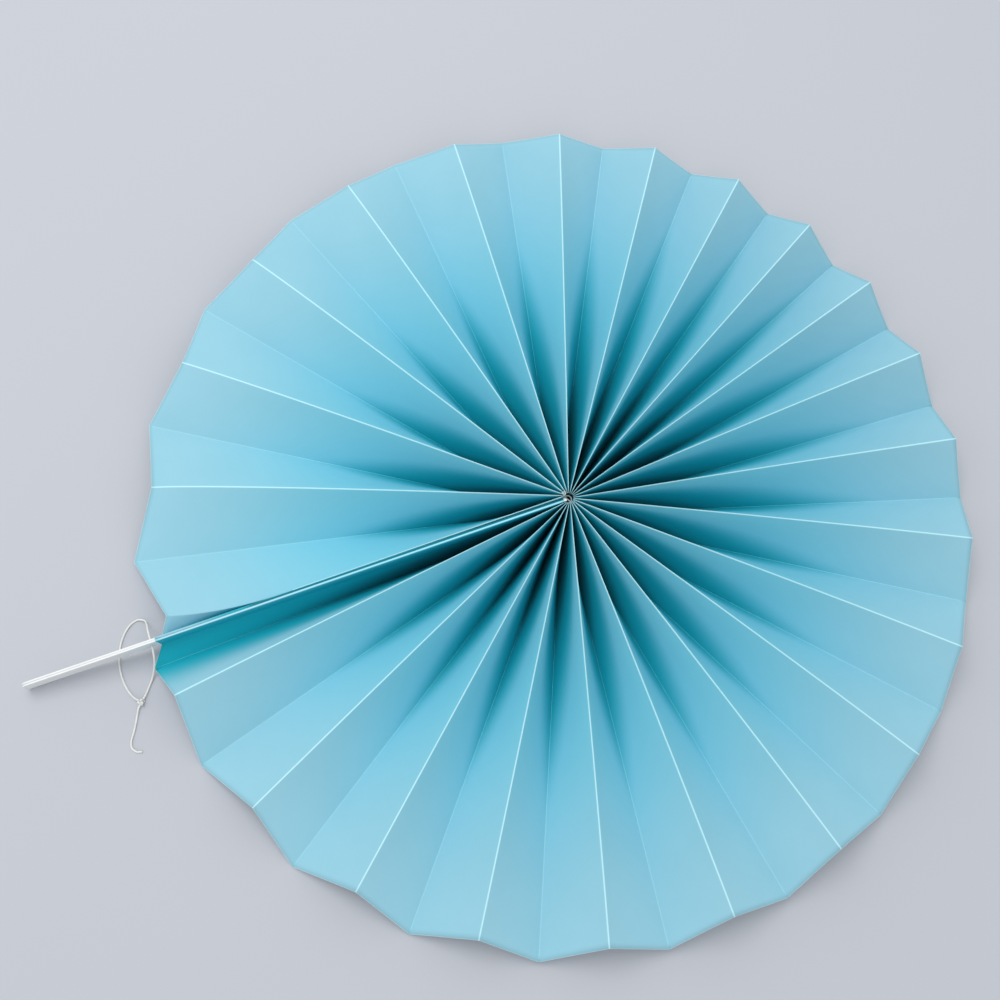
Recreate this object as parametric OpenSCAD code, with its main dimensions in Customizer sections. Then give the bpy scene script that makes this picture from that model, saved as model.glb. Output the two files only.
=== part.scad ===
// Pleated round paper fan, opened through a full turn and lying on its back folds.
// Millimetres. The hub axis is Z, the floor is z = 0 and the handle lies along -X.

/* [Paper] */
// Length of each fold, from the hub hole to the rim
fold_length = 246.5; // [200:0.5:300]
// Width of one panel, from fold to fold
panel_w = 42; // [41:0.5:50]
// Thickness of the paper
paper_t = 0.2; // [0.2:0.05:0.35]
// Number of front folds between the one beside the handle and the last
front_folds = 22; // [21:1:23]
// Radius of the hub hole at the front edges of the pleats
hub_r_front = 2.8; // [2.7:0.1:5]
// Radius of the hub hole at the back edges of the pleats
hub_r_back = 12; // [8:0.5:14]
// Height of the back edges above the floor at the hub
hub_lift = 7.5; // [4:0.5:12]

/* [How evenly it opens] */
// Swing of the fold angles that repeats once round the fan, in degrees
uneven_once = 7.8; // [0:0.2:8.6]
// Angle round the fan at which that swing starts, in degrees
uneven_start = 20; // [0:1:30]
// Swing of the fold angles that repeats twice round the fan, in degrees
uneven_twice = 2; // [0:0.1:2.2]
// Height of the slow wave of the rim above the floor
rim_wave = 10; // [0:1:12]
// Angle at which the rim lies lowest, in degrees
rim_wave_low = 26; // [0:1:90]
// Share of the full arch that the folds take as the panels steepen
fold_arch = 0.5; // [0:0.1:0.8]

/* [Folds beside the handle] */
// Angle from the handle to the fold over the first stick, in degrees
first_front_angle = 2.1; // [1.8:0.1:3]
// Angle from the handle to the first back fold, in degrees
first_back_angle = 11.6; // [10:0.2:12.4]
// Angle from the handle to the first full front fold, in degrees
first_ridge_angle = 21.4; // [20:0.2:22]
// Angle from the handle to the last front fold, in degrees
last_ridge_angle = 8; // [7.4:0.2:8.6]
// Angle from the handle to the last back fold, in degrees
last_back_angle = 2.8; // [2.4:0.1:3.6]
// Height of the first front fold at the rim
first_front_rim_z = 17.5; // [14:0.5:22]

/* [Handle sticks] */
// Length of a stick, from its end at the hub to the end of the handle
stick_length = 328; // [300:1:380]
// Width of a stick
stick_w = 15; // [12:0.5:17]
// Thickness of a stick
stick_t = 1; // [0.8:0.1:1.2]
// Gap between the two sticks when the fan is held open
stick_gap = 0.2; // [0.1:0.05:0.3]
// Depth of the right stick's hub end below the front edges of the pleats
stick_drop_right = 1; // [0.5:0.25:2]
// Depth of the left stick's hub end below the front edges of the pleats
stick_drop_left = 3; // [1:0.25:3.5]
// Distance that a stick reaches into the hub hole, past the pleats
stick_in = 1.6; // [1.5:0.1:1.8]
// Radius of a stick's rounded handle end
stick_end_r = 5; // [2:0.5:7]
// Diameter of the hole for the tie cord
cord_hole_d = 2.2; // [1.6:0.1:3]
// Distance of the cord hole outside the paper
cord_hole_out = 4.2; // [3.6:0.2:12]

/* [Hub thread] */
// Diameter of the thread
thread_d = 0.7; // [0.5:0.1:0.9]
// Depth of the thread's ring below the front edges of the pleats
thread_depth = 4.4; // [4.2:0.1:6]
// Diameter of the thread's knot
knot_d = 3; // [2.4:0.1:4]
// Distance of the knot from the hub axis
knot_out = 3.6; // [3.2:0.1:3.8]
// Angle round the hub at which the knot sits, in degrees
knot_angle = 124; // [110:1:130]
// Clearance of the thread from the pleats and in the sticks' holes
thread_clear = 0.2; // [0.15:0.05:0.2]

/* [Tie cord] */
// Diameter of the tie cord
cord_d = 1.2; // [1:0.1:1.4]
// Diameter of the tie cord's knot
cord_knot_d = 4.4; // [4:0.1:5.5]

/* [Hidden] */

paper_colour = "skyblue";
stick_colour = "white";
cord_colour = "gainsboro";

// Heights at the hub, and the line of each stick's top from there down to the handle end,
// where the stick rests on the floor. The left stick is on the side where y is positive.
hub_back_z = hub_lift;
hub_front_z = hub_lift + panel_w;
stick_hub_x = stick_in - hub_r_front;
stick_end_x = stick_hub_x - stick_length;
function stick_hub_z(side) = hub_front_z - (side > 0 ? stick_drop_left : stick_drop_right);
function stick_top_z(x, side) =
    stick_w + (stick_hub_z(side) - stick_w) * (x - stick_end_x) / stick_length;

// The hole for the tie cord runs straight through both sticks
cord_hole_x = -hub_r_front - fold_length - cord_hole_out;
cord_hole_z = (stick_top_z(cord_hole_x, 1) + stick_top_z(cord_hole_x, -1) - stick_w) / 2;

// Where the tie cord lies, as [x from the cord hole, y, z]. Both sides start inside the hole
// and drop to the floor. The loop side goes round under the handle and ends in the knot.
cord_loop_route = [
    [0, 0, cord_hole_z], [0, 2, cord_hole_z], [0, 4, cord_hole_z], [-0.2, 8, 13.4],
    [-0.7, 11.6, 9.6], [-1.7, 14.4, 5.4], [-3.3, 16.8, 1.9], [-7, 18.4, 0.7],
    [-11.5, 17, 0.7], [-16, 13.2, 0.7], [-19.7, 7.6, 0.7], [-22.3, 1, 0.7],
    [-23.7, -6, 0.7], [-23.7, -13.4, 0.7], [-22.3, -20.2, 0.9], [-20.1, -25, 1.5],
    [-17.9, -27.6, 2]
];
// The other side goes straight through the knot and ends in a loose tail.
cord_tail_route = [
    [0, 0, cord_hole_z], [0, -2, cord_hole_z], [0, -4, cord_hole_z], [-0.8, -7.6, 12.8],
    [-2.4, -10.8, 8.6], [-4.7, -14.2, 4.4], [-7.5, -18, 1.4], [-10.5, -22, 0.9],
    [-13.5, -26, 1.6], [-16.5, -29, 2.2], [-19.3, -32.4, 1.6], [-21.3, -36.4, 0.8],
    [-23.3, -40.6, 0.7], [-25.5, -44.8, 0.7], [-27.7, -48.6, 0.7], [-28.4, -52.4, 0.7],
    [-26.3, -55.4, 0.7], [-23.3, -56.4, 0.7]
];
cord_knot_at = [-16.5, -29];
cord_sides = 8;

// The faces of the sticks that the paper is glued to, and the middle of the glued paper
stick_face_y = stick_gap / 2 + stick_t;
flap_y = stick_face_y + paper_t / 2;

// Folds are counted round the fan from the flap on the left stick to the flap on the right
// one: 0 and 1 are the left flap's edges, 2 is the first front fold, and the last three are
// the last back fold and the right flap's two edges.
last_ridge = 2 * front_folds + 2;
last_back = last_ridge + 1;
flap_low = last_ridge + 2;
flap_top = last_ridge + 3;
fold_count = flap_top + 1;
rim_stations = 16;

function is_ridge(i) = i >= 2 && i <= last_ridge && i % 2 == 0;
function is_flap(i) = i < 2 || i > last_back;
function is_high(i) = is_ridge(i) || i == 0 || i == flap_top;

// Rim angle of full front fold k, counted from 1: even steps with two slow swings on top
ridge_step = (360 - first_ridge_angle - last_ridge_angle) / (front_folds - 1);
function swing(turn) =
    -uneven_once * (sin(turn + uneven_start) - sin(uneven_start))
    + uneven_twice * (cos(2 * turn) - 1);
function ridge_angle(k) =
    180 - first_ridge_angle - ridge_step * (k - 1) + swing(360 * (k - 1) / (front_folds - 1));

// Rim angle of fold i
function rim_angle(i) =
    i == 2 ? 180 - first_front_angle
    : i == 3 ? 180 - first_back_angle
    : i == last_back ? last_back_angle - 180
    : is_ridge(i) ? ridge_angle(i / 2 - 1)
    : (ridge_angle((i - 1) / 2 - 1) + ridge_angle((i + 1) / 2 - 1)) / 2;

// Angle of fold i at the hub, where the panels stand side by side all the way round
function hub_gap(r) = asin((flap_y + paper_t) / r);
function hub_angle(i) =
    let (r = is_ridge(i) ? hub_r_front : hub_r_back, gap = hub_gap(r) + 180 / fold_count)
    180 - gap - (360 - 2 * gap) * (i - 2) / (last_back - 2);

// Rise of a panel that spans an angle at radius r, and of a fold between two such panels
min_rise = 4;
function panel_rise(span, r) =
    let (chord = 2 * r * sin(abs(span) / 2))
    sqrt(max(pow(panel_w, 2) - pow(chord, 2), pow(min_rise, 2)));
function fold_rise(i, share) =
    let (r = fold_length * share)
    (panel_rise(rim_angle(i) - rim_angle(i - 1), r)
     + panel_rise(rim_angle(i + 1) - rim_angle(i), r)) / 2;

// Height of the floor side of the rim at an angle
function rim_low_z(angle) = rim_wave / 2 * (1 - cos(2 * (angle - rim_wave_low)));

function rim_z(i) =
    i == 2 ? first_front_rim_z
    : is_ridge(i) ? rim_low_z(rim_angle(i)) + fold_rise(i, 1)
    : rim_low_z(rim_angle(i));

// Height of the middle of the paper on fold i at a share of its length: a straight line just
// off the floor, with part of the arch that constant panels would give a front fold
function arch(i, share) =
    is_ridge(i) && i > 3
        ? fold_arch * (fold_rise(i, share) - panel_w - share * (fold_rise(i, 1) - panel_w))
        : 0;
function fold_z(i, share) =
    let (from = is_ridge(i) ? hub_front_z : hub_back_z)
    from + share * (rim_z(i) - from) + arch(i, share) + paper_t;

// Point of the middle of the paper on fold i
function fold_run(i) =
    sqrt(pow(fold_length, 2) - pow((is_ridge(i) ? hub_front_z : hub_back_z) - rim_z(i), 2));
function at_angle(r, angle) = [r * cos(angle), r * sin(angle)];
function free_fold(i, share) =
    let (r = is_ridge(i) ? hub_r_front : hub_r_back,
         from = at_angle(r, hub_angle(i)),
         to = at_angle(r + fold_run(i), rim_angle(i)),
         spot = from + share * (to - from))
    [spot.x, spot.y, fold_z(i, share)];
function flap_fold(i, share) =
    let (x = -hub_r_front - share * fold_length, side = i < 2 ? 1 : -1)
    [x, side * flap_y, stick_top_z(x, side) - (is_high(i) ? 0 : stick_w)];
function fold_point(i, share) = is_flap(i) ? flap_fold(i, share) : free_fold(i, share);

// Way that the front of the panel between folds i and i + 1 faces, beside a fold that runs so
function unit(v) = v / norm(v);
function panel_facing(run, row, i) = unit(cross(row[i + 1] - row[i], run));

// Points of the paper's front or back at one station. A fold has two points on its outer
// side and one on its inner side, where the two faces meet.
function fold_side(p, before, after, side, outer) =
    outer ? [p + side * paper_t / 2 * before, p + side * paper_t / 2 * after]
          : [p + side * paper_t / 2 * (before + after) / (1 + before * after)];
function side_points(row, runs, side) =
    [for (i = [0 : flap_top])
        let (before = i > 0 ? panel_facing(runs[i], row, i - 1) : undef,
             after = i < flap_top ? panel_facing(runs[i], row, i) : undef)
        each i == 0 ? [row[i] + side * paper_t / 2 * after]
            : i == flap_top ? [row[i] + side * paper_t / 2 * before]
            : fold_side(row[i], before, after, side, is_ridge(i) == (side > 0))];

module paper_sheet() {
    shares = [for (s = [0 : rim_stations]) s / rim_stations];
    rows = [for (share = shares) [for (i = [0 : flap_top]) fold_point(i, share)]];
    runs = [for (s = [0 : rim_stations])
        let (a = min(s, rim_stations - 1))
        rows[a + 1] - rows[a]];
    front = [for (s = [0 : rim_stations]) side_points(rows[s], runs[s], 1)];
    back = [for (s = [0 : rim_stations]) side_points(rows[s], runs[s], -1)];
    front_n = len(front[0]);
    ring_n = front_n + len(back[0]);
    // First point of fold i on each side, and its last one
    front_first = [for (i = 0, c = 0; i <= flap_top; c = c + (is_ridge(i) ? 2 : 1), i = i + 1) c];
    back_first = [for (i = 0, c = front_n; i <= flap_top;
                       c = c + (is_ridge(i) || i == 0 ? 1 : 2), i = i + 1) c];
    front_last = [for (i = [0 : flap_top]) front_first[i] + (is_ridge(i) ? 1 : 0)];
    back_last = [for (i = [0 : flap_top])
        back_first[i] + (is_ridge(i) || i == 0 || i == flap_top ? 0 : 1)];
    // Once round the section: along the front, then back along the back
    loop = [for (k = [0 : front_n - 1]) k, for (k = [ring_n - 1 : -1 : front_n]) k];
    // The panels are slightly twisted, so both sides are split along the same diagonal
    skin = [for (s = [0 : rim_stations - 1], k = [0 : ring_n - 1])
        let (a = loop[k] + s * ring_n, b = loop[(k + 1) % ring_n] + s * ring_n)
        each k < front_n - 1 ? [[a, b + ring_n, b], [a, a + ring_n, b + ring_n]]
                             : [[a, a + ring_n, b], [b, a + ring_n, b + ring_n]]];
    cap = [
        for (i = [0 : flap_top - 1])
            let (a = front_last[i], b = front_first[i + 1], c = back_first[i + 1], d = back_last[i])
            each [[a, d, c], [a, c, b]],
        for (i = [1 : flap_top - 1])
            is_ridge(i) ? [front_first[i], back_first[i], front_last[i]]
                        : [front_first[i], back_first[i], back_last[i]]
    ];
    hub_cap = [for (f = cap) [f[2], f[1], f[0]]];
    rim_cap = [for (f = cap) [for (k = f) k + rim_stations * ring_n]];
    polyhedron(
        points = [for (s = [0 : rim_stations]) each concat(front[s], back[s])],
        faces = concat(skin, hub_cap, rim_cap)
    );
}

// Ring of thread round the hub hole, through both sticks and against the inner ends of the
// pleats, with a strand across the hole and a knot on the front
thread_ring_r = hub_r_front - thread_clear - thread_d / 2;
thread_z = hub_front_z - thread_depth;
knot_z = hub_front_z + paper_t + thread_clear + knot_d / 2;
module thread(grow) {
    translate([0, 0, thread_z]) {
        rotate_extrude($fn = 48)
            translate([thread_ring_r, 0])
                circle(d = thread_d + 2 * grow, $fn = 16);
        rotate([0, 90, knot_angle])
            cylinder(d = thread_d + 2 * grow, h = 2 * thread_ring_r, center = true, $fn = 16);
    }
    translate([thread_ring_r * cos(knot_angle), thread_ring_r * sin(knot_angle), thread_z])
        cylinder(d = thread_d + 2 * grow, h = knot_z - thread_z, $fn = 16);
    translate([knot_out * cos(knot_angle), knot_out * sin(knot_angle), knot_z])
        sphere(d = knot_d + 2 * grow, $fn = 24);
}

module paper_pleats() {
    color(paper_colour) paper_sheet();
}

// One stick on the side of the given sign of y, with the upper corner of its handle end rounded
module stick(side) {
    difference() {
        translate([0, side * (stick_gap + stick_t) / 2 + stick_t / 2, 0])
            rotate([90, 0, 0])
                linear_extrude(stick_t)
                    polygon([
                        [stick_hub_x, stick_hub_z(side)],
                        [stick_hub_x, stick_hub_z(side) - stick_w],
                        [stick_end_x, 0],
                        for (a = [180 : -15 : 90])
                            [stick_end_x + stick_end_r * (1 + cos(a)),
                             stick_w - stick_end_r * (1 - sin(a))]
                    ]);
        thread(thread_clear);
        translate([cord_hole_x, 0, cord_hole_z])
            rotate([90, 0, 0])
                cylinder(d = cord_hole_d, h = 4 * stick_t, center = true, $fn = 32);
    }
}

module handle_stick_left() {
    color(stick_colour) stick(1);
}

module handle_stick_right() {
    color(stick_colour) stick(-1);
}

module hub_thread() {
    color(cord_colour) thread(0);
}

// Smooth line through a route's points: the point a share of the way from point k to the next
function route_point(route, k, share) =
    let (a = route[k], b = route[k + 1],
         before = k > 0 ? route[k - 1] : 2 * a - b,
         after = k + 2 < len(route) ? route[k + 2] : 2 * b - a,
         u = share)
    (2 * a + u * (b - before) + u * u * (2 * before - 5 * a + 4 * b - after)
     + u * u * u * (3 * a - before - 3 * b + after)) / 2;

// Round tube along a route, with a ring at each point and one halfway to the next
module cord_tube(route) {
    sides = [0 : cord_sides - 1];
    line = [for (k = [0 : len(route) - 2], share = [0, 0.5]) route_point(route, k, share),
            route[len(route) - 1]];
    last = len(line) - 1;
    rings = [for (k = [0 : last])
        let (along = unit(line[min(k + 1, last)] - line[max(k - 1, 0)]),
             across = unit(cross(along, [0, 0, 1])),
             up = cross(across, along))
        each [for (n = sides)
            let (a = 360 * n / cord_sides)
            line[k] + cord_d / 2 * (cos(a) * across + sin(a) * up)]];
    walls = [for (k = [0 : last - 1], n = sides)
        let (a = k * cord_sides + n, b = k * cord_sides + (n + 1) % cord_sides)
        each [[a, b, b + cord_sides], [a, b + cord_sides, a + cord_sides]]];
    start = [for (n = sides) cord_sides - 1 - n];
    end = [for (n = sides) last * cord_sides + n];
    translate([cord_hole_x, 0, 0])
        polyhedron(points = rings, faces = concat(walls, [start], [end]));
}

module tie_cord_loop() {
    color(cord_colour) cord_tube(cord_loop_route);
}

module tie_cord_tail() {
    color(cord_colour) cord_tube(cord_tail_route);
}

// The knot sits on the floor, with a channel where each side of the cord runs through it
module tie_cord_knot() {
    color(cord_colour)
        difference() {
            translate([cord_hole_x + cord_knot_at.x, cord_knot_at.y, cord_knot_d / 2])
                sphere(d = cord_knot_d, $fn = 24);
            cord_tube(cord_loop_route);
            cord_tube(cord_tail_route);
        }
}

paper_pleats();
handle_stick_left();
handle_stick_right();
hub_thread();
tie_cord_loop();
tie_cord_knot();
tie_cord_tail();
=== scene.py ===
"""Pleated round paper fan, opened all the way round and lying on its back folds."""
import math

import bpy
import numpy as np
from mathutils import Matrix, Vector


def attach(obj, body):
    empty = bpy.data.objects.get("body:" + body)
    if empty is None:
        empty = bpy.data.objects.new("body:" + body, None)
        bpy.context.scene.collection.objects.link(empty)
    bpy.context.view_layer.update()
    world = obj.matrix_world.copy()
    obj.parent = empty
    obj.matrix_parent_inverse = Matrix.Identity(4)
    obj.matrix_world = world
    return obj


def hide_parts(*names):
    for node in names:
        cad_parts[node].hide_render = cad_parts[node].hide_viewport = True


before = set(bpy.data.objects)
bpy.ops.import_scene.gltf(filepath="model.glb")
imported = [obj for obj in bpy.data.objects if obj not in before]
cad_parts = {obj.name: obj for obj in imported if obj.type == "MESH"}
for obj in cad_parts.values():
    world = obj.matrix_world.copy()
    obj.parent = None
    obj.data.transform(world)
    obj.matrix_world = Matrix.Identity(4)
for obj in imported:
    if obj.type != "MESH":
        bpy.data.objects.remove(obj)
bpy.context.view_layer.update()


# Camera: it looks down on the fan from over the handle side, as the photograph does.
camera_place = Vector((-0.1214, -0.1136, 0.6419))
camera_target = Vector((-0.0314, 0.0214, 0))
camera_up_hint = Vector((0.3237, 0.9462, 0))
camera_focal_px = 1060
photo_width_px = 1000

look = (camera_target - camera_place).normalized()
right = look.cross(camera_up_hint).normalized()
up = right.cross(look)
camera_data = bpy.data.cameras.new("camera")
camera_data.sensor_width = 36
camera_data.lens = camera_data.sensor_width * camera_focal_px / photo_width_px
camera_data.clip_start = 0.01
camera = bpy.data.objects.new("camera", camera_data)
camera_turn = Matrix((right, up, -look)).transposed().to_4x4()
camera.matrix_world = Matrix.Translation(camera_place) @ camera_turn
bpy.context.collection.objects.link(camera)
bpy.context.scene.camera = camera
bpy.context.scene.view_settings.view_transform = "Standard"


# Tie cord: one thin twisted cotton cord through the holes in both sticks. It is knotted into a
# loop that goes round under the handle, and its loose tail lies on the floor.
mm = 0.001
cord_d = 1.2 * mm
cord_knot_d = 4.4 * mm
cord_knot_centre = Vector((-270, -29, 2.2)) * mm
cord_loop_route = [
    (-253.5, 0, 15), (-253.5, 2, 15), (-253.5, 4, 15), (-253.7, 8, 13.4),
    (-254.2, 11.6, 9.6), (-255.2, 14.4, 5.4), (-256.8, 16.8, 1.9), (-260.5, 18.4, 0.7),
    (-265, 17, 0.7), (-269.5, 13.2, 0.7), (-273.2, 7.6, 0.7), (-275.8, 1, 0.7),
    (-277.2, -6, 0.7), (-277.2, -13.4, 0.7), (-275.8, -20.2, 0.9), (-273.6, -25, 1.5),
    (-271.4, -27.6, 2),
]
cord_tail_route = [
    (-253.5, 0, 15), (-253.5, -2, 15), (-253.5, -4, 15), (-254.3, -7.6, 12.8),
    (-255.9, -10.8, 8.6), (-258.2, -14.2, 4.4), (-261, -18, 1.4), (-264, -22, 0.9),
    (-267, -26, 1.6), (-270, -29, 2.2), (-272.8, -32.4, 1.6), (-274.8, -36.4, 0.8),
    (-276.8, -40.6, 0.7), (-279, -44.8, 0.7), (-281.2, -48.6, 0.7), (-281.9, -52.4, 0.7),
    (-279.8, -55.4, 0.7), (-276.8, -56.4, 0.7),
]


def smooth_line(points, step):
    """Smooth line through the points, with a vertex about every step along it."""
    points = [Vector(p) for p in points]
    line = []
    for k in range(len(points) - 1):
        a, b = points[k], points[k + 1]
        before = points[k - 1] if k else 2 * a - b
        after = points[k + 2] if k + 2 < len(points) else 2 * b - a
        pieces = max(1, round((b - a).length / step))
        for n in range(pieces):
            u = n / pieces
            line.append((2 * a + u * (b - before) + u ** 2 * (2 * before - 5 * a + 4 * b - after)
                         + u ** 3 * (3 * a - before - 3 * b + after)) / 2)
    line.append(points[-1])
    return line


def twisted_strands(line, diameter, strands, turn_length, closed=False):
    """Vertices and faces of a cord of strands twisted round each other along a line."""
    sides_per_strand = 6
    groove = 0.2
    sides = sides_per_strand * strands
    n = len(line)
    vertices = []
    faces = []
    across = None
    travelled = 0
    for k, point in enumerate(line):
        ahead = line[(k + 1) % n] if closed else line[min(k + 1, n - 1)]
        behind = line[k - 1] if closed or k else line[0]
        along = (ahead - behind).normalized()
        if across is None:
            across = along.orthogonal().normalized()
        across = (across - across.dot(along) * along).normalized()
        over = along.cross(across)
        for side in range(sides):
            angle = 2 * math.pi * side / sides
            lobe = abs(math.cos(strands / 2 * (angle - 2 * math.pi * travelled / turn_length)))
            radius = diameter / 2 * (1 - groove + groove * lobe)
            vertices.append(point + radius * (math.cos(angle) * across + math.sin(angle) * over))
        travelled += (line[(k + 1) % n] - point).length
    for k in range(n if closed else n - 1):
        for side in range(sides):
            a = k * sides + side
            b = k * sides + (side + 1) % sides
            c = (k + 1) % n * sides + (side + 1) % sides
            d = (k + 1) % n * sides + side
            faces.append((a, b, c, d))
    if not closed:
        faces.append(tuple(range(sides - 1, -1, -1)))
        faces.append(tuple((n - 1) * sides + side for side in range(sides)))
    return vertices, faces


def make_piece(name, vertices, faces, material):
    """A smooth mesh object in the fan's own frame."""
    mesh = bpy.data.meshes.new(name)
    mesh.from_pydata([tuple(v) for v in vertices], [], faces)
    mesh.update()
    mesh.shade_smooth()
    mesh.materials.append(material)
    piece = bpy.data.objects.new(name, mesh)
    bpy.context.collection.objects.link(piece)
    return piece


def srgb(r, g, b):
    """Colour on a 0 to 255 scale as Blender's linear values."""
    def linear(c):
        c = c / 255
        return c / 12.92 if c <= 0.04045 else ((c + 0.055) / 1.055) ** 2.4
    return (linear(r), linear(g), linear(b), 1)


def add_node(tree, kind, inputs=None, **settings):
    """Adds a shader node with its settings and its plain input values."""
    node = tree.nodes.new(kind)
    for key, value in settings.items():
        setattr(node, key, value)
    for key, value in (inputs or {}).items():
        node.inputs[key].default_value = value
    return node


def new_material(name, roughness, specular):
    """A material and its Principled BSDF shader."""
    material = bpy.data.materials.new(name)
    material.use_nodes = True
    shader = material.node_tree.nodes["Principled BSDF"]
    shader.inputs["Roughness"].default_value = roughness
    shader.inputs["Specular IOR Level"].default_value = specular
    return material, shader


def mix_colour(tree, mask, low, high):
    """Mixes two colours by a mask. A colour is a socket or a fixed value."""
    mix = add_node(tree, "ShaderNodeMix", data_type="RGBA")
    tree.links.new(mask, mix.inputs["Factor"])
    # The node has sockets of each data type, and these are the ones for colours.
    low_colour, high_colour, mixed_colour = mix.inputs[6], mix.inputs[7], mix.outputs[2]
    for socket, colour in ((low_colour, low), (high_colour, high)):
        if isinstance(colour, tuple):
            socket.default_value = colour
        else:
            tree.links.new(colour, socket)
    return mixed_colour


def grain_group():
    """Group with a fine grain: a mask of mottling and a height for bump."""
    group = bpy.data.node_groups.new("fibre_grain", "ShaderNodeTree")
    face = group.interface
    face.new_socket("Mottle Scale", in_out="INPUT", socket_type="NodeSocketFloat")
    face.new_socket("Fibre Scale", in_out="INPUT", socket_type="NodeSocketFloat")
    face.new_socket("Mottle", in_out="OUTPUT", socket_type="NodeSocketFloat")
    face.new_socket("Height", in_out="OUTPUT", socket_type="NodeSocketFloat")
    inside = group.nodes.new("NodeGroupInput")
    outside = group.nodes.new("NodeGroupOutput")
    place = group.nodes.new("ShaderNodeTexCoord")
    mottle = add_node(group, "ShaderNodeTexNoise", {"Detail": 4, "Roughness": 0.6})
    fibre = add_node(group, "ShaderNodeTexNoise", {"Detail": 3, "Roughness": 0.7, "Distortion": 0.6})
    for noise, size in ((mottle, "Mottle Scale"), (fibre, "Fibre Scale")):
        group.links.new(place.outputs["Object"], noise.inputs["Vector"])
        group.links.new(inside.outputs[size], noise.inputs["Scale"])
    group.links.new(mottle.outputs["Fac"], outside.inputs["Mottle"])
    group.links.new(fibre.outputs["Fac"], outside.inputs["Height"])
    return group


def add_grain(tree, shader, mottle_scale, fibre_scale, bump_depth, bump_strength):
    """Places the grain group in a material's tree, bumps it, and returns the mottling mask."""
    grain = add_node(tree, "ShaderNodeGroup", node_tree=fibre_grain)
    grain.inputs["Mottle Scale"].default_value = mottle_scale
    grain.inputs["Fibre Scale"].default_value = fibre_scale
    bump = add_node(tree, "ShaderNodeBump", {"Distance": bump_depth, "Strength": bump_strength})
    tree.links.new(grain.outputs["Height"], bump.inputs["Height"])
    tree.links.new(bump.outputs["Normal"], shader.inputs["Normal"])
    return grain.outputs["Mottle"]


def grained_material(name, roughness, specular, low, high, **grain):
    """A material mottled between two colours, with the grain group's bump."""
    material, shader = new_material(name, roughness, specular)
    tree = material.node_tree
    mottle = add_grain(tree, shader, **grain)
    tree.links.new(mix_colour(tree, mottle, low, high), shader.inputs["Base Color"])
    return material


fibre_grain = grain_group()
cotton = grained_material(
    "twisted_cotton", roughness=0.85, specular=0.2, low=srgb(214, 214, 209), high=srgb(250, 250, 245),
    mottle_scale=900, fibre_scale=4200, bump_depth=0.2 * mm, bump_strength=0.8)

cord_turn = 4 * mm
cord_strands = 3
cord_step = 0.35 * mm


def cord_line(route):
    return smooth_line([Vector(p) * mm for p in route], cord_step)


def knot_line(centre, radius, step):
    """Line of an overhand knot: it goes round its centre twice and weaves up and down."""
    fewest_points = 60
    rounds_long = 3
    height_share = 0.75
    n = max(fewest_points, int(rounds_long * 2 * math.pi * radius / step))
    points = []
    for k in range(n):
        t = 2 * math.pi * k / n
        points.append(centre + Vector((
            radius * (math.sin(t) + 2 * math.sin(2 * t)) / 3,
            radius * (math.cos(t) - 2 * math.cos(2 * t)) / 3,
            -radius * height_share * math.sin(3 * t))))
    return points


loop_line = cord_line(cord_loop_route)
tail_line = cord_line(cord_tail_route)
tie_loop = make_piece("tie_cord_loop_twisted",
                      *twisted_strands(loop_line, cord_d, cord_strands, cord_turn), cotton)
tie_tail = make_piece("tie_cord_tail_twisted",
                      *twisted_strands(tail_line, cord_d, cord_strands, cord_turn), cotton)
tie_knot_line = knot_line(cord_knot_centre, (cord_knot_d - cord_d) / 2, cord_step)
tie_knot = make_piece("tie_cord_knot_twisted",
                      *twisted_strands(tie_knot_line, cord_d, cord_strands, cord_turn, closed=True), cotton)
for piece, node in ((tie_loop, "tie_cord_loop"),
                    (tie_tail, "tie_cord_tail"),
                    (tie_knot, "tie_cord_knot")):
    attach(piece, "root")
    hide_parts(node)


# Folded paper: one strip of sky-blue paper, pleated by hand and opened all the way round. Its
# end panels are glued to the outer faces of the two sticks and lapped over their top edges.
# Lengths are in millimetres times mm, and angles in degrees.
fold_length = 246.5 * mm
panel_w = 42 * mm
paper_t = 0.2 * mm
front_folds = 22
hub_r_front = 2.8 * mm
hub_r_back = 12 * mm
hub_lift = 7.5 * mm
uneven_once = 7.8
uneven_start = 20
uneven_twice = 2
rim_wave = 10 * mm
rim_wave_low = 26
fold_arch = 0.5
first_front_angle = 2.1
first_back_angle = 11.6
first_ridge_angle = 21.4
last_ridge_angle = 8
last_back_angle = 2.8
first_front_rim_z = 17.5 * mm
min_rise = 4 * mm
sag = 1.2 * mm
rim_sag = 0.3 * mm
lap_clear = 0.05 * mm
lap_lift = paper_t / 2 + lap_clear

# The first front fold keeps close beside the left stick and swings away from it near the rim.
first_front_near_y = 1.8 * mm
first_front_rim_y = 12 * mm
first_front_swing_at = 0.68
first_front_length = 0.975

stick_length = 328 * mm
stick_w = 15 * mm
stick_t = 1 * mm
stick_gap = 0.2 * mm
stick_drop_right = 1 * mm
stick_drop_left = 3 * mm
stick_in = 1.6 * mm
hub_front_z = hub_lift + panel_w
stick_end_x = stick_in - hub_r_front - stick_length
flap_y = stick_gap / 2 + stick_t + paper_t / 2

# Folds are counted round the fan from the flap on the left stick to the flap on the right one.
last_ridge = 2 * front_folds + 2
last_back = last_ridge + 1
flap_top = last_ridge + 3
fold_count = flap_top + 1


def sin_deg(angle):
    return math.sin(math.radians(angle))


def cos_deg(angle):
    return math.cos(math.radians(angle))


def is_ridge(i):
    """A ridge is a front fold, and a valley a back fold."""
    return 2 <= i <= last_ridge and i % 2 == 0


def is_valley(i):
    return 2 < i <= last_back and not is_ridge(i)


def is_flap(i):
    return i < 2 or i > last_back


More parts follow.
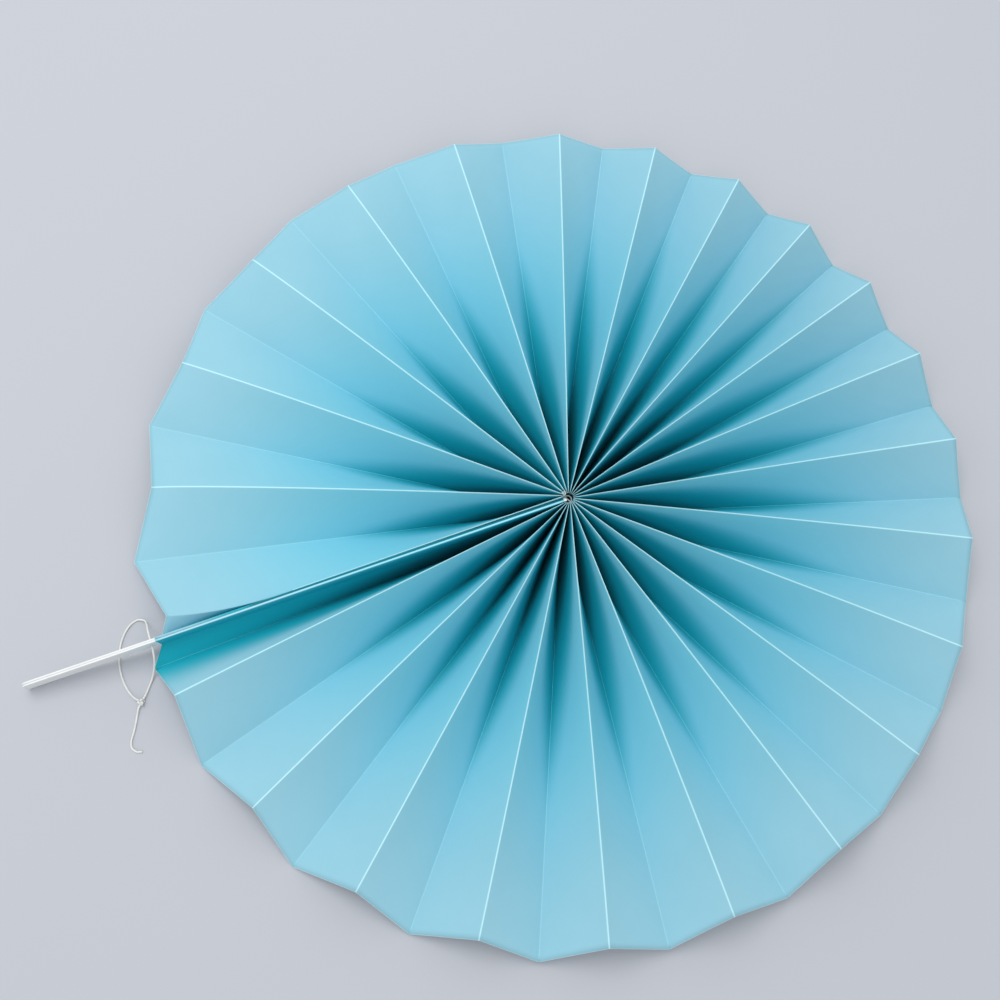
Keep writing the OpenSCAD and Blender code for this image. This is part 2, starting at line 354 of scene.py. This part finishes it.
def stick_top_z(x, side):
    """Height of a stick's top edge, which slopes down from the hub to the handle's end."""
    hub_z = hub_front_z - (stick_drop_left if side > 0 else stick_drop_right)
    return stick_w + (hub_z - stick_w) * (x - stick_end_x) / stick_length


def ridge_angle(k):
    """Angle of front fold k after the first one. The folds open a little unevenly."""
    step = (360 - first_ridge_angle - last_ridge_angle) / (front_folds - 1)
    turn = 360 * (k - 1) / (front_folds - 1)
    swing = (-uneven_once * (sin_deg(turn + uneven_start) - sin_deg(uneven_start))
             + uneven_twice * (cos_deg(2 * turn) - 1))
    return 180 - first_ridge_angle - step * (k - 1) + swing


def rim_angle(i):
    """Angle of fold i at the rim, about the hub's axis."""
    if i == 2:
        return 180 - first_front_angle
    if i == 3:
        return 180 - first_back_angle
    if i == last_back:
        return last_back_angle - 180
    if is_ridge(i):
        return ridge_angle(i / 2 - 1)
    return (ridge_angle((i - 1) / 2 - 1) + ridge_angle((i + 1) / 2 - 1)) / 2


def hub_angle(i):
    """Angle of fold i at the hub, where the folds share the round evenly."""
    r = hub_r_front if is_ridge(i) else hub_r_back
    gap = math.degrees(math.asin((flap_y + paper_t) / r)) + 180 / fold_count
    return 180 - gap - (360 - 2 * gap) * (i - 2) / (last_back - 2)


def panel_rise(span, r):
    """Rise of a panel from its back fold to its front fold, a span of degrees apart at radius r."""
    chord = 2 * r * sin_deg(abs(span) / 2)
    return math.sqrt(max(panel_w ** 2 - chord ** 2, min_rise ** 2))


def fold_rise(i, share):
    """Mean rise of the two panels that meet at fold i."""
    r = fold_length * share
    return (panel_rise(rim_angle(i) - rim_angle(i - 1), r)
            + panel_rise(rim_angle(i + 1) - rim_angle(i), r)) / 2


def rim_z(i):
    """Height of fold i at the rim. The rim waves up and down twice round the fan."""
    if i == 2:
        return first_front_rim_z
    low = rim_wave / 2 * (1 - cos_deg(2 * (rim_angle(i) - rim_wave_low)))
    return low + fold_rise(i, 1) if is_ridge(i) else low


def flap_point(i, share):
    """Point of a glued end panel. Folds -1 and fold_count are the cut ends, lapped over the sticks."""
    side = 1 if i < 2 else -1
    x = -hub_r_front - share * fold_length
    y = stick_gap / 2 + lap_clear if i in (-1, fold_count) else flap_y
    rise = -stick_w if i in (1, flap_top - 1) else lap_lift
    return Vector((x, side * y, stick_top_z(x, side) + rise))


def fold_point(i, share):
    """Middle of the paper on fold i, at a share of the fold's length from the hub."""
    if is_flap(i):
        return flap_point(i, share)
    hub_z = hub_front_z if is_ridge(i) else hub_lift
    r = hub_r_front if is_ridge(i) else hub_r_back
    run = math.sqrt(fold_length ** 2 - (hub_z - rim_z(i)) ** 2)
    start = Vector((r * cos_deg(hub_angle(i)), r * sin_deg(hub_angle(i))))
    end = Vector(((r + run) * cos_deg(rim_angle(i)), (r + run) * sin_deg(rim_angle(i))))
    spot = start.lerp(end, share)
    if i == 2:
        swing = max(0, (share - first_front_swing_at) / (1 - first_front_swing_at)) ** 2
        spot = Vector((spot.x * (1 + swing * (first_front_length - 1)),
                       first_front_near_y + swing * (first_front_rim_y - first_front_near_y)))
    arch = 0
    if is_ridge(i) and i > 2:
        arch = fold_arch * (fold_rise(i, share) - panel_w - share * (fold_rise(i, 1) - panel_w))
    return Vector((spot.x, spot.y, hub_z + share * (rim_z(i) - hub_z) + arch + paper_t))


# Across a panel the mesh has close rows beside each fold, so that the fold reads as a soft
# pressed line, and the middle of the panel sags behind a flat one.
across_shares = [0, 0.018, 0.045, 0.12, 0.25, 0.38, 0.5, 0.62, 0.75, 0.88, 0.955, 0.982]
rim_stations = 64
shares = np.linspace(0, 1, rim_stations + 1)
fold_numbers = range(-1, fold_count + 1)
front_edges = [i for i in fold_numbers if is_ridge(i) or i in (-1, 0, flap_top, fold_count)]
back_edges = [i for i in fold_numbers if not is_ridge(i)]
fold_lines = {i: np.array([tuple(fold_point(i, share)) for share in shares]) for i in fold_numbers}


def unit_rows(rows):
    return rows / np.linalg.norm(rows, axis=-1, keepdims=True)


def distance_to(kind, i, u, width):
    """Distance, at share u across panel i of this width, to the nearer fold of a kind."""
    near = np.full_like(width, panel_w)
    if kind(i):
        near = np.minimum(near, u * width)
    if kind(i + 1):
        near = np.minimum(near, (1 - u) * width)
    return near


def openness(edges, i, points):
    """Share of the sky that points of panel i see between the two edges of their groove."""
    left = fold_lines[max(edge for edge in edges if edge <= i)]
    right = fold_lines[min(edge for edge in edges if edge > i)]
    return (1 - (unit_rows(left - points) * unit_rows(right - points)).sum(axis=1)) / 2


# A fold's white line is a painted highlight. It has its width as seen from above, but on a steep
# panel the distance from the fold counts for no less than this share of the distance along the paper.
steep_share = 0.25
edge_share = 0.01
last_groove_shade = 0.6
lap_line_fade = 0.2
lap_shade_to = 0.75
lap_rim_openness = 0.5

columns = []
to_front = []
to_back = []
front_openness = []
back_openness = []
for i in fold_numbers[:-1]:
    start, end = fold_lines[i], fold_lines[i + 1]
    across = end - start
    width = np.linalg.norm(across, axis=1)
    width_from_above = np.maximum(np.linalg.norm(across[:, :2], axis=1), steep_share * width)
    facing = unit_rows(np.cross(across, np.gradient(start, axis=0)))
    is_free = 2 <= i < last_back
    depth = is_free * (sag * np.sin(np.pi * shares ** 1.5) + rim_sag * shares)
    for u in across_shares + ([1] if i == fold_count - 1 else []):
        columns.append(start + u * across - (math.sin(math.pi * u) * depth)[:, None] * facing)
        to_front.append(distance_to(is_ridge, i, u, width_from_above))
        to_back.append(distance_to(is_valley, i, u, width))
        inside = start + min(max(u, edge_share), 1 - edge_share) * across
        front_openness.append(openness(front_edges, i, inside))
        back_openness.append(openness(back_edges, i, inside))
        # The groove beside the right stick gets painted shade, deepest at the rim.
        if i >= last_ridge:
            front_openness[-1] *= 1 - last_groove_shade * shares
        # The first front fold has no painted highlight line near the rim, the right lap has a painted
        # highlight line along its middle, and the left lap gets painted shade, lighter towards the rim.
        if i in (1, 2):
            to_front[-1][shares > first_front_swing_at] = panel_w
        if i == flap_top:
            to_front[-1] = (abs(u - 0.5) + lap_line_fade) * width
        if i == -1:
            light_share = np.maximum(0, (shares - lap_shade_to) / (1 - lap_shade_to))
            front_openness[-1] = lap_rim_openness * light_share
middle = np.stack(columns, axis=1)
column_count = middle.shape[1]
facing = unit_rows(np.cross(np.gradient(middle, axis=1), np.gradient(middle, axis=0)))
vertices = np.concatenate([(middle + facing * paper_t / 2).reshape(-1, 3),
                           (middle - facing * paper_t / 2).reshape(-1, 3)])
count = middle.shape[0] * column_count
faces = []
for s in range(rim_stations):
    for c in range(column_count - 1):
        a = s * column_count + c
        b = a + 1
        faces.append((a, a + column_count, b + column_count, b))
        faces.append((count + a, count + b, count + b + column_count, count + a + column_count))
for s, turn in ((0, 1), (rim_stations, -1)):
    for c in range(column_count - 1):
        a = s * column_count + c
        faces.append((a, a + 1, count + a + 1, count + a)[::turn])
for c, turn in ((0, -1), (column_count - 1, 1)):
    for s in range(rim_stations):
        a = s * column_count + c
        faces.append((a, a + column_count, count + a + column_count, count + a)[::turn])

paper, paper_shader = new_material("sky_blue_paper", roughness=0.75, specular=0.25)
paper_piece = make_piece("pleated_paper", vertices, faces, paper)
to_rim = np.repeat(((1 - shares) * fold_length)[:, None], column_count, axis=1)
to_front, to_back, front_openness, back_openness = (
    np.stack(values, axis=1) for values in (to_front, to_back, front_openness, back_openness))
for name, front_values, back_values in (
        ("to_front_fold", to_front / mm, to_front / mm),
        ("to_back_fold", to_back / mm, to_back / mm),
        ("to_rim", to_rim / mm, to_rim / mm),
        ("openness", front_openness, back_openness)):
    attribute = paper_piece.data.attributes.new(name, "FLOAT", "POINT")
    attribute.data.foreach_set("value", np.concatenate(
        [front_values.reshape(-1), back_values.reshape(-1)]).astype(np.float32))


def attribute_ramp(tree, attribute, low, high, at_low, at_high):
    """Smooth ramp of a mesh attribute, from one value at low to another at high."""
    source = add_node(tree, "ShaderNodeAttribute", attribute_name=attribute)
    ramp = add_node(tree, "ShaderNodeMapRange",
                    {"From Min": low, "From Max": high, "To Min": at_low, "To Max": at_high},
                    interpolation_type="SMOOTHSTEP")
    tree.links.new(source.outputs["Fac"], ramp.inputs["Value"])
    return ramp.outputs["Result"]


# Distances are in millimetres, and openness is a share of the sky.
tree = paper.node_tree
mottle = add_grain(tree, paper_shader,
                   mottle_scale=26, fibre_scale=1500, bump_depth=0.05 * mm, bump_strength=0.5)
near_rim = attribute_ramp(tree, "to_rim", low=10, high=150, at_low=1, at_high=0)
# Painted shade: where a groove sees little sky, the colour deepens toward teal, darkest at the valley
# bottom.
out_of_painted_valley_shade = attribute_ramp(tree, "openness", low=0.11, high=0.38, at_low=0, at_high=1)
off_painted_valley_bottom_shade = attribute_ramp(tree, "openness", low=0, high=0.09, at_low=0, at_high=1)
on_back_fold = attribute_ramp(tree, "to_back_fold", low=0, high=0.6, at_low=0.3, at_high=0)
# Painted highlight: a pale line along each front fold.
painted_front_fold_highlight = attribute_ramp(tree, "to_front_fold", low=0.05, high=0.65, at_low=1, at_high=0)
on_rim_edge = attribute_ramp(tree, "to_rim", low=0, high=0.5, at_low=0.6, at_high=0)
colour = mix_colour(tree, mottle, srgb(143, 196, 213), srgb(153, 204, 220))
colour = mix_colour(tree, near_rim, srgb(120, 202, 222), colour)
# Painted shade in the grooves: deep teal where openness is low, darker teal at the valley bottom.
colour = mix_colour(tree, out_of_painted_valley_shade, srgb(19, 174, 192), colour)
colour = mix_colour(tree, off_painted_valley_bottom_shade, srgb(7, 120, 137), colour)
colour = mix_colour(tree, on_back_fold, colour, srgb(170, 232, 240))
# The painted highlight along the front folds.
colour = mix_colour(tree, painted_front_fold_highlight, colour, srgb(194, 242, 250))
colour = mix_colour(tree, on_rim_edge, colour, srgb(225, 246, 250))
tree.links.new(colour, paper_shader.inputs["Base Color"])
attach(paper_piece, "root")
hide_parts("paper_pleats")


# Handle sticks: two flat strips of white card pressed from several layers. The paper's ends are
# glued to their outer faces, and their hub ends carry the thread.
card = grained_material(
    "white_card", roughness=0.55, specular=0.35, low=srgb(226, 228, 228), high=srgb(246, 247, 246),
    mottle_scale=60, fibre_scale=1100, bump_depth=0.06 * mm, bump_strength=0.5)
for node in ("handle_stick_left", "handle_stick_right"):
    stick = bpy.data.objects[node]
    stick.data.materials.clear()
    stick.data.materials.append(card)


# Hub thread: a fine twisted thread that runs round the middle, through both sticks, with one
# strand across the hole and a small knot on the front.
thread_d = 0.7 * mm
thread_clear = 0.2 * mm
thread_depth = 4.4 * mm
knot_d = 3 * mm
knot_out = 3.6 * mm
knot_clear = 0.1 * mm
knot_angle = math.radians(124)
thread_ring_r = hub_r_front - thread_clear - thread_d / 2
thread_z = hub_front_z - thread_depth
knot_z = hub_front_z + paper_t + knot_clear + knot_d / 2
thread_step = 0.25 * mm
thread_turn = 2.4 * mm
thread_strands = 2
ring_points = 72


def joined(parts):
    """Vertices and faces of several parts as one mesh."""
    vertices = []
    faces = []
    for part_vertices, part_faces in parts:
        first = len(vertices)
        vertices += part_vertices
        faces += [tuple(first + v for v in face) for face in part_faces]
    return vertices, faces


thread = grained_material(
    "twisted_thread", roughness=0.8, specular=0.2, low=srgb(150, 172, 174), high=srgb(214, 230, 230),
    mottle_scale=1300, fibre_scale=5000, bump_depth=0.1 * mm, bump_strength=0.8)
ring_centre = Vector((0, 0, thread_z))
ring_angles = [2 * math.pi * k / ring_points for k in range(ring_points)]
ring = [ring_centre + thread_ring_r * Vector((math.cos(t), math.sin(t), 0)) for t in ring_angles]
knot_way = Vector((math.cos(knot_angle), math.sin(knot_angle), 0))
crossing_end = ring_centre + thread_ring_r * knot_way
crossing_start = ring_centre - thread_ring_r * knot_way
crossing = smooth_line([crossing_start, ring_centre, crossing_end], thread_step)
knot_centre = knot_out * knot_way + Vector((0, 0, knot_z))
riser = smooth_line([crossing_end, knot_centre], thread_step)
hub_knot = knot_line(knot_centre, (knot_d - thread_d) / 2, thread_step)
thread_piece = make_piece("hub_thread_twisted", *joined([
    twisted_strands(ring, thread_d, thread_strands, thread_turn, closed=True),
    twisted_strands(crossing, thread_d, thread_strands, thread_turn),
    twisted_strands(riser, thread_d, thread_strands, thread_turn),
    twisted_strands(hub_knot, thread_d, thread_strands, thread_turn, closed=True),
]), thread)
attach(thread_piece, "root")
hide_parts("hub_thread")


# Floor and light: a plain pale table that takes the fan's shadow, a wide soft lamp above the
# handle's side, and an even sky.
floor_material, floor_shader = new_material("pale_table", roughness=0.9, specular=0.1)
floor_shader.inputs["Base Color"].default_value = srgb(190, 193, 200)
floor_size = 6
floor = make_piece("floor", [(-floor_size, -floor_size, 0), (floor_size, -floor_size, 0),
                             (floor_size, floor_size, 0), (-floor_size, floor_size, 0)],
                   [(0, 1, 2, 3)], floor_material)

lamp_data = bpy.data.lights.new("soft_lamp", "AREA")
lamp_data.shape = "DISK"
lamp_data.size = 1.2
lamp_data.energy = 15
lamp = bpy.data.objects.new("soft_lamp", lamp_data)
lamp.location = (-0.25, 0.65, 1.75)
lamp.rotation_euler = (-Vector(lamp.location)).to_track_quat("-Z", "Y").to_euler()
bpy.context.collection.objects.link(lamp)

sky = bpy.data.worlds.new("even_sky")
sky.use_nodes = True
sky.node_tree.nodes["Background"].inputs["Color"].default_value = (0.96, 0.98, 1, 1)
sky.node_tree.nodes["Background"].inputs["Strength"].default_value = 0.81
bpy.context.scene.world = sky
